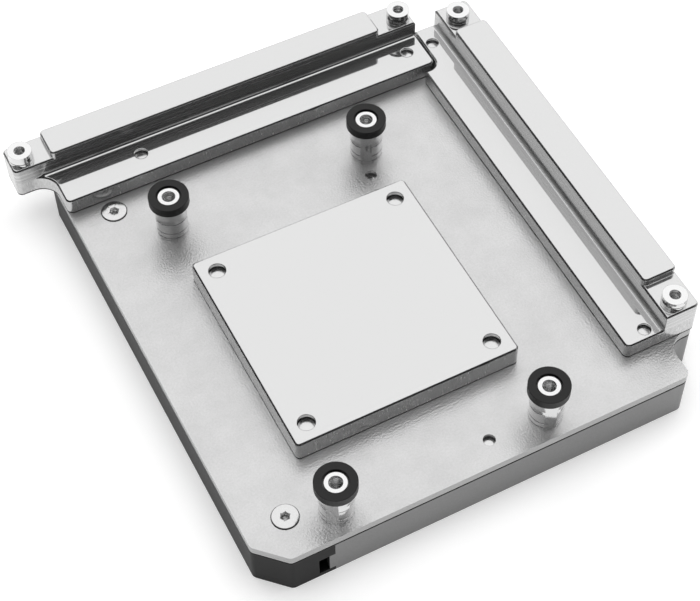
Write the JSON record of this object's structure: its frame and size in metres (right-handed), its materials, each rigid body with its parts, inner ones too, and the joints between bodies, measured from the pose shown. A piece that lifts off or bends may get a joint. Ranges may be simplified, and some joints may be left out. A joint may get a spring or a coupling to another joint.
{
  "type": "liquid cooling cold plate",
  "caption": "Liquid cooling cold plate with a raised processor contact plate, stepped cooling blocks along two edges, threaded standoffs and a flow body with two coolant ports.",
  "frame": {"origin": "middle of the four socket standoffs, on the face that the unit rests on", "axes": "+Z out of the contact side, +X along the short spacing of the socket standoffs towards the right block, +Y along the long spacing towards the rear block"},
  "size_m": [0.1283, 0.1319, 0.0265],
  "materials": {
    "satin_nickel": "nickel plated, bead blasted",
    "polished_nickel": "nickel plated, polished",
    "black_acetal": "machined acetal",
    "grey_aluminium": "bead blasted, grey anodised",
    "stainless_steel": "bright stainless steel",
    "black_washer": "moulded nylon",
    "seal_rubber": "nitrile rubber"
  },
  "bodies": {
    "root": {"base_plate": "satin_nickel", "cpu_contact_plate": "polished_nickel", "rear_vrm_block": "polished_nickel", "right_vrm_block": "polished_nickel", "flow_body": "black_acetal", "cover": "grey_aluminium", "jet_plate": "stainless_steel", "socket_standoff_left_rear": "polished_nickel", "socket_standoff_right_rear": "polished_nickel", "socket_standoff_right_front": "polished_nickel", "socket_standoff_left_front": "polished_nickel", "washer_left_rear": "black_washer", "washer_right_rear": "black_washer", "washer_right_front": "black_washer", "washer_left_front": "black_washer", "rear_standoff_left": "polished_nickel", "rear_standoff_right": "polished_nickel", "right_standoff_rear": "polished_nickel", "right_standoff_front": "polished_nickel", "cpu_gasket": "seal_rubber", "rear_block_gasket": "seal_rubber", "right_block_gasket": "seal_rubber", "main_channel_gasket": "seal_rubber", "rear_channel_gasket": "seal_rubber", "outlet_channel_gasket": "seal_rubber"}
  },
  "joints": []
}
